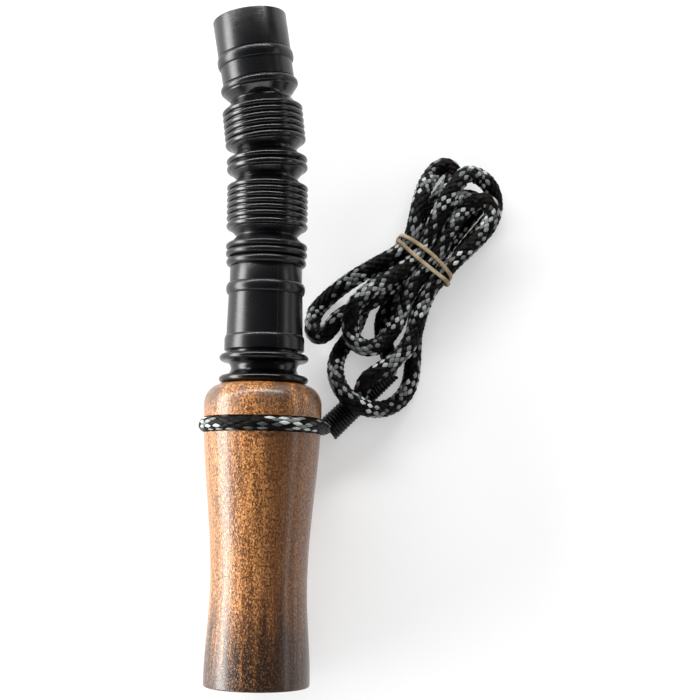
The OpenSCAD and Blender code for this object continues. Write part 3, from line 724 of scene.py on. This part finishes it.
# %% Sockets that can be added and multiplied
class Wire:
    """An output socket of a material's node tree."""

    def __init__(self, socket):
        self.socket = socket

    def add(self, kind, settings=None, inputs=None, output=0):
        """Adds a node of a kind to the same tree: settings first, then values or links of its sockets."""
        tree = self.socket.id_data
        node = tree.nodes.new("ShaderNode" + kind)
        for name, value in (settings or {}).items():
            if name in ("stops", "stepped"):
                set_stops(node.color_ramp, value)
                node.color_ramp.interpolation = "LINEAR" if name == "stops" else "CONSTANT"
            else:
                setattr(node, name, value)
        for name, value in (inputs or {}).items():
            if isinstance(value, Wire):
                tree.links.new(value.socket, node.inputs[name])
            else:
                node.inputs[name].default_value = value
        return Wire(node.outputs[output])

    def math(self, operation, *values):
        """A Math node of this wire and other values."""
        return self.add("Math", {"operation": operation}, dict(enumerate((self,) + values)))

    def __add__(self, other):
        return self.math("ADD", other)

    def __mul__(self, other):
        return self.math("MULTIPLY", other)

    def __sub__(self, other):
        return self.math("SUBTRACT", other)

    def __rsub__(self, other):
        return self.add("Math", {"operation": "SUBTRACT"}, {0: other, 1: self})

    def __truediv__(self, other):
        return self.math("DIVIDE", other)

    def __pow__(self, other):
        return self.math("POWER", other)

    __radd__ = __add__
    __rmul__ = __mul__

    def between(self, low, high):
        """0 below low, 1 above high, and smooth between them."""
        return self.add("MapRange", {"interpolation_type": "SMOOTHSTEP"},
                        {"Value": self, "From Min": low, "From Max": high})

    def mixed(self, first, second):
        """The first colour where this wire is 0, and the second where it is 1."""
        return self.add("Mix", {"data_type": "RGBA"}, {0: self, 6: first, 7: second}, 2)

    def chosen(self, first, second):
        """The first value where this wire is 0, and the second where it is 1."""
        return self.add("Mix", None, {0: self, 2: first, 3: second})

    def noise(self, scale, detail=3.0, roughness=0.55, distortion=0.0, output=0):
        """Noise over these coordinates."""
        return self.add("TexNoise", None, {"Vector": self, "Scale": scale, "Detail": detail,
                                           "Roughness": roughness, "Distortion": distortion}, output)

    def stretched(self, scale, location=(0, 0, 0)):
        """These coordinates, scaled by axis."""
        return self.add("Mapping", None, {"Vector": self, "Scale": scale, "Location": location})

    def axis(self, number):
        """One coordinate."""
        return self.add("SeparateXYZ", None, {"Vector": self}, number)


def set_stops(ramp, stops):
    """Sets a colour ramp's stops, each a place and a colour."""
    while len(ramp.elements) < len(stops):
        ramp.elements.new(1.0)
    for element, (place, colour) in zip(ramp.elements, stops):
        element.position = place
        element.color = (*colour, 1.0)


def new_finish(name, constants):
    """A material, its Principled shader with constants set, and its object coordinates."""
    material = bpy.data.materials.new(name)
    material.use_nodes = True
    shader = material.node_tree.nodes["Principled BSDF"]
    for socket, value in constants.items():
        shader.inputs[socket].default_value = value
    coordinates = Wire(material.node_tree.nodes.new("ShaderNodeTexCoord").outputs["Object"])
    return material, shader, coordinates


def feed(shader, socket, wire):
    """Links a wire to a socket of the shader."""
    shader.id_data.links.new(wire.socket, shader.inputs[socket])


def bumped(shader, height, strength, distance):
    """Feeds a height to the shader's normal through a Bump node; distance is in metres."""
    bump = height.add("Bump", None, {"Height": height, "Strength": strength, "Distance": distance})
    feed(shader, "Normal", bump)


def dress(material, *pieces):
    """Gives pieces one material."""
    for piece in pieces:
        if piece.material_slots:
            for slot in piece.material_slots:
                slot.material = material
        else:
            piece.data.materials.append(material)


print("finishes ready")

# %% [markdown]
# ### Braided cord
# The UV map counts strands, so floor(u - v) is the number of a strand of one way and floor(u + v) of the
# other, and the sum of the two says which lies on top. Most yarns are black or dark brown; three white ones
# together in one way and three grey ones in the other make the pale diamonds. Fine lines along each strand
# are its filaments, and each cell is a little lighter or darker than the next. The valleys between the
# strands are painted near black as shade.

# %% Colour the braid
YARN = {"white": (0.62, 0.64, 0.62), "grey": (0.24, 0.265, 0.265), "brown": (0.014, 0.007, 0.005),
        "olive": (0.008, 0.007, 0.0035), "black": (0.002, 0.002, 0.0024)}
YARNS_A = ("white", "white", "white", "black", "brown", "black", "olive", "black")
YARNS_B = ("black", "brown", "grey", "black", "grey", "grey", "olive", "black")


def yarn_colour(strand, names):
    """The colour of a strand by its number, from the yarns in turn."""
    turn = strand.math("FLOORED_MODULO", STRANDS) / STRANDS + 0.5 / STRANDS
    stops = [(k / STRANDS, YARN[name]) for k, name in enumerate(names)]
    return turn.add("ValToRGB", {"stepped": stops}, {"Fac": turn})


def braid_finish():
    """Yarns that pass over and under each other, by the cord's own UV map."""
    material, shader, coordinates = new_finish("braid", {"Roughness": 0.4, "Specular IOR Level": 0.08})
    uv = coordinates.add("UVMap", {"uv_map": "braid"})
    u, v = uv.axis(0), uv.axis(1)
    sum_way, other_way = u + v, u - v
    strand_b, strand_a = sum_way.math("FLOOR"), other_way.math("FLOOR")
    b_on_top = (strand_a + strand_b).math("FLOORED_MODULO", 2.0)
    yarn = b_on_top.mixed(yarn_colour(strand_a, YARNS_A), yarn_colour(strand_b, YARNS_B))
    along = b_on_top.chosen(sum_way.math("FRACT"), other_way.math("FRACT"))
    across = b_on_top.chosen(other_way.math("FRACT"), sum_way.math("FRACT"))
    crown = (across * math.pi).math("SINE") * (along * math.pi).math("SINE")
    filament = (across * 2 * math.pi * 4).math("SINE") * 0.5 + 0.5
    cell = strand_a.add("CombineXYZ", None, {"X": strand_a, "Y": strand_b})
    worn = cell.add("TexWhiteNoise", {"noise_dimensions": "2D"}, {"Vector": cell})
    # Painted shade: where a strand's crown falls away into a valley, the colour goes to near black.
    shade = crown.between(0.04, 0.2) * (0.75 + 0.25 * filament) * (0.2 + 0.8 * worn)
    feed(shader, "Base Color", shade.mixed((0.0015, 0.0015, 0.0015, 1), yarn))
    bumped(shader, filament, 0.35, 0.0001)
    return material


braid = braid_finish()
dress(braid, lanyard_cord)
print("braid uses", len(braid.node_tree.nodes), "nodes")

# %% [markdown]
# ### Thread and band
# The thread is waxed and black, so it glints; the band is matt tan rubber, paler in faint patches. Noise on
# object coordinates gives both their unevenness, because neither has a pattern that follows its windings.

# %% Thread and band finishes
def thread_finish():
    """Black waxed thread, unevenly shiny."""
    material, shader, coordinates = new_finish("waxed_thread", {"Base Color": (0.002, 0.002, 0.0023, 1),
                                                                "Specular IOR Level": 0.25})
    wear = coordinates.noise(2500, 2)
    feed(shader, "Roughness", 0.3 + 0.2 * wear)
    bumped(shader, wear, 0.2, 0.00005)
    return material


def band_finish():
    """Tan rubber in two close colours, with a fine dusty surface."""
    material, shader, coordinates = new_finish("tan_rubber", {"Roughness": 0.62})
    patch = coordinates.noise(260, 4).between(0.35, 0.65)
    feed(shader, "Base Color", patch.mixed((0.23, 0.165, 0.095, 1), (0.40, 0.31, 0.20, 1)))
    bumped(shader, coordinates.noise(3000, 3), 0.25, 0.00008)
    return material


dress(thread_finish(), whipping)
dress(band_finish(), rubber_band)
print("whipping and band are dressed")

# %% [markdown]
# ### Wood
# A stained hardwood with short dark pores and pale orange flecks along the grain, under a satin lacquer.
# Shade is painted into the colour down the right side, away from the left lamp. The shoulder is smoky, and
# the mouth is scorched, where the scorch runs up the grain in streaks.

# %% Stain the barrel
def wood_finish():
    """Grain, flecks and pores along the barrel, with painted shade down one side and a scorched mouth."""
    material, shader, coordinates = new_finish("stained_wood", {"Coat Weight": 0.55, "Coat Roughness": 0.24,
                                                                "Specular IOR Level": 0.3})
    place = coordinates.axis(1)
    angle = coordinates.axis(0).math("ARCTAN2", coordinates.axis(2))
    grain = coordinates.stretched((520, 26, 520)).noise(1.0, 5, 0.65, 0.4)
    flecks = coordinates.stretched((2000, 1450, 2000)).noise(1.0, 2, 0.7)
    pores = coordinates.stretched((2100, 1200, 2100), (3, 1, 2)).noise(1.0, 2, 0.7)
    bands = coordinates.stretched((110, 7, 110), (0.4, 0, 0)).noise(1.0, 3, 0.6)
    cloud = coordinates.stretched((120, 70, 120)).noise(1.0, 3, 0.55)
    plain = grain.between(0.38, 0.62).mixed((0.180, 0.058, 0.010, 1), (0.43, 0.168, 0.042, 1))
    flecked = (flecks.between(0.50, 0.58) * (0.4 + 0.7 * grain)).mixed(plain, (0.68, 0.34, 0.125, 1))
    pored = (pores.between(0.50, 0.56) * 0.85).mixed(flecked, (0.040, 0.011, 0.002, 1))
    # Painted shade: the colour is darkened down the right side, away from the left lamp, fading under the
    # barrel and towards the shoulder.
    side = (angle + (bands - 0.5) * 0.9).between(-0.25, 0.42) * (1 - angle.between(1.5, 2.6))
    side = side * (1 - 0.3 * angle.between(0.6, 1.1)) * (1 - 0.8 * place.between(0.076, 0.086))
    stained_and_shaded = (side * 0.74).mixed(pored, (0.078, 0.027, 0.007, 1))
    smoke = place.between(0.080, 0.087) * (cloud + bands).between(0.86, 1.06) * 0.75
    smoked = smoke.mixed(stained_and_shaded, (0.060, 0.034, 0.022, 1))
    streak = coordinates.stretched((620, 13, 620)).noise(1.0, 5, 0.75)
    scorch = (1 - (place + (streak - 0.5) * 0.09).between(0.004, 0.034)) * (0.8 + 0.35 * cloud)
    charred = scorch.math("MINIMUM", 0.95) * (1 - 0.3 * flecks.between(0.5, 0.58))
    feed(shader, "Base Color", charred.mixed(smoked, (0.014, 0.007, 0.005, 1)))
    feed(shader, "Roughness", 0.27 + 0.15 * grain)
    bumped(shader, grain * 0.3 + flecks * 0.7 - pores * 0.7, 0.6, 0.00035)
    return material


dress(wood_finish(), barrel)
print("barrel is stained")

# %% [markdown]
# ### Black plastic
# The hose and the housing are black plastic with a soft gloss. The cuffs are handled most, so they are duller
# than the ribs, and the free end has fine lines round it. Fine noise keeps the highlights from being
# perfect. The hose has a parting line where the two halves of its mould met, along the top, right of the
# middle: a Mapping node turns the coordinates on to each stretch's own axis, and the angle round that axis
# finds the line.

# %% Black plastic finishes
# Each gloss is a least roughness, a specular level and the grey of the plastic itself
HOUSING_GLOSS, RIB_GLOSS, CUFF_GLOSS = (0.14, 0.4, 0.001), (0.15, 0.5, 0.001), (0.19, 0.4, 0.003)
PARTING_ANGLE = math.radians(22)


def plastic_finish(name, count, gloss, parting=False, scuffed=False):
    """Black plastic for a stretch of the hose past a count of bends, with a parting line or fine scuffs."""
    roughness, specular, grey = gloss
    material, shader, coordinates = new_finish(name, {"Base Color": (0.93 * grey, grey, 1.2 * grey, 1),
                                                      "Specular IOR Level": specular})
    pivot = bent_point(THROATS[count - 1], count - 1) if count else Vector((0, 0, 0))
    turned = (0, 0, math.radians(sum(BENDS[:count])))
    own = coordinates.add("Mapping", {"vector_type": "TEXTURE"},
                          {"Vector": coordinates, "Location": pivot, "Rotation": turned})
    fine = coordinates.noise(1800, 3)
    broad = coordinates.noise(160, 3)
    dullness = roughness + 0.14 * broad + 0.05 * fine
    height = fine * 0.15 + broad * 0.8
    if scuffed:
        scuffs = own.stretched((90, 3200, 90)).noise(1.0, 3, 0.6).between(0.45, 0.7)
        dullness = dullness + 0.03 * scuffs
        height = height + scuffs * 0.25
    if parting:
        angle = own.axis(0).math("ARCTAN2", own.axis(2))
        ridge = 1 - (angle - PARTING_ANGLE).math("ABSOLUTE").between(0.004, 0.014)
        height = height + ridge * 1.2
    feed(shader, "Roughness", dullness)
    bumped(shader, height, 0.5, 0.00006)
    return material


dress(plastic_finish("black_housing", 0, HOUSING_GLOSS), housing)
for count, pieces in enumerate([(lower_cuff, necks[0]), (lower_ribs, necks[1]), (middle_ribs, necks[2]),
                                (upper_ribs, necks[3]), (upper_cuff,)]):
    gloss = CUFF_GLOSS if count in (0, len(BENDS)) else RIB_GLOSS
    finish = plastic_finish(f"black_hose_{count}", count, gloss, parting=True, scuffed=count == len(BENDS))
    dress(finish, *pieces)
print("hose and housing are dressed")

# %% [markdown]
# ### Pieces inside
# The tone board, reed, wedge, tuning ring and seals show only when the housing is pulled out. Their CAD
# solids have the right shapes and keep them, each with a finish of its own.

# %% Finishes of the inner pieces
def inner_finish(name, dark, light, roughness, grain, size):
    """A plain moulded or cut material: two close colours in soft patches and a fine surface."""
    material, shader, coordinates = new_finish(name, {})
    feed(shader, "Base Color", coordinates.noise(300, 4).between(0.3, 0.7).mixed((*dark, 1), (*light, 1)))
    fine = coordinates.noise(size, 3)
    feed(shader, "Roughness", roughness + 0.15 * fine)
    bumped(shader, fine, grain, 0.00005)
    return material


for node, colours in {
    "tone_board": ((0.62, 0.58, 0.47), (0.72, 0.68, 0.57), 0.38, 0.15, 1500),
    "reed": ((0.70, 0.66, 0.52), (0.80, 0.76, 0.63), 0.22, 0.08, 2500),
    "reed_root": ((0.70, 0.66, 0.52), (0.80, 0.76, 0.63), 0.22, 0.08, 2500),
    "reed_wedge": ((0.42, 0.25, 0.12), (0.55, 0.36, 0.20), 0.5, 0.3, 900),
    "tuning_ring": ((0.42, 0.06, 0.035), (0.52, 0.09, 0.05), 0.5, 0.2, 2000),
    "housing_o_rings": ((0.012, 0.012, 0.012), (0.02, 0.02, 0.02), 0.42, 0.2, 2000),
}.items():
    dress(inner_finish(node + "_finish", *colours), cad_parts[node])
print("inner pieces are dressed")

# %% [markdown]
# ## Floor and light
# The photograph has a white ground. The floor is plain white paint, which takes the object's shadow, mixed
# through Light Path with white that the camera and mirrored rays see. Far from the object it is that white
# alone, so that in low views the floor meets the white sky.

# %% White floor
bpy.ops.object.select_all(action="DESELECT")
bpy.ops.mesh.primitive_plane_add(size=6, location=(0, 0, FLOOR - 0.02 * MM))
floor = bpy.context.object
floor.name = "white_floor"
PAINT = {"Base Color": (0.95, 0.95, 0.95, 1), "Roughness": 0.9}
NEAR_SHARE = 0.35
paper, paper_shader, paper_coordinates = new_finish("white_paper", PAINT)
tree = paper.node_tree
rays = tree.nodes.new("ShaderNodeLightPath").outputs
seen = Wire(rays["Is Camera Ray"]) + Wire(rays["Is Glossy Ray"]) + Wire(rays["Is Transmission Ray"])
glow = seen.add("Emission", None, {"Color": (1, 1, 1, 1), "Strength": 1.0})
away = paper_coordinates.add("VectorMath", {"operation": "LENGTH"}, {0: paper_coordinates}, "Value")
share = seen.math("MINIMUM", 1.0) * (NEAR_SHARE + (1 - NEAR_SHARE) * away.between(0.4, 1.6))
mixed = share.add("MixShader", None, {0: share, 1: Wire(paper_shader.outputs[0]), 2: glow})
tree.links.new(mixed.socket, tree.nodes["Material Output"].inputs["Surface"])
dress(paper, floor)
print("floor at", round(floor.location.z / MM, 2), "mm")

# %% [markdown]
# A long low lamp stands at the left and a weaker one at the right, where the round pieces mirror them as
# upright streaks. The panels beyond both ends of the call light its top, and only the flanks of the ribs
# mirror those. A broad soft lamp overhead fills the shadows. It is kept out of reflections, because black
# plastic would mirror it as a grey film.

# %% Lamps and sky
AIM = (0, 0.1, 0)
SKY_LIGHT = 0.06


def lamp(name, place, size, power):
    """A soft rectangular lamp that faces the call."""
    bpy.ops.object.select_all(action="DESELECT")
    bpy.ops.object.light_add(type="AREA", location=place)
    light = bpy.context.object
    light.name = name
    light.data.shape = "RECTANGLE"
    light.data.size, light.data.size_y = size
    light.data.energy = power
    light.rotation_euler = (Vector(AIM) - Vector(place)).to_track_quat("-Z", "Y").to_euler()
    return light


lamp("left_window", (-1.0, 0.10, 0.19), (1.4, 0.45), 31.0)
lamp("right_panel", (0.60, 0.12, 0.20), (0.7, 0.1), 0.7)
lamp("far_panel", (-0.12, 0.85, 0.40), (1.4, 0.1), 12.0)
lamp("near_panel", (0.0, -0.6, 0.36), (1.2, 0.08), 2.0)
ceiling = lamp("ceiling", (0.05, 0.12, 0.95), (1.0, 1.0), 3.0)
ceiling.visible_glossy = False
world = bpy.data.worlds.new("studio")
bpy.context.scene.world = world
world.use_nodes = True
sky = world.node_tree.nodes["Background"]
sky_rays = world.node_tree.nodes.new("ShaderNodeLightPath")
sky_seen = Wire(sky_rays.outputs["Is Camera Ray"])
world.node_tree.links.new((SKY_LIGHT + (1 - SKY_LIGHT) * sky_seen).socket, sky.inputs["Strength"])
sky.inputs["Color"].default_value = (1, 1, 1, 1)
bpy.context.scene.view_settings.view_transform = "Standard"
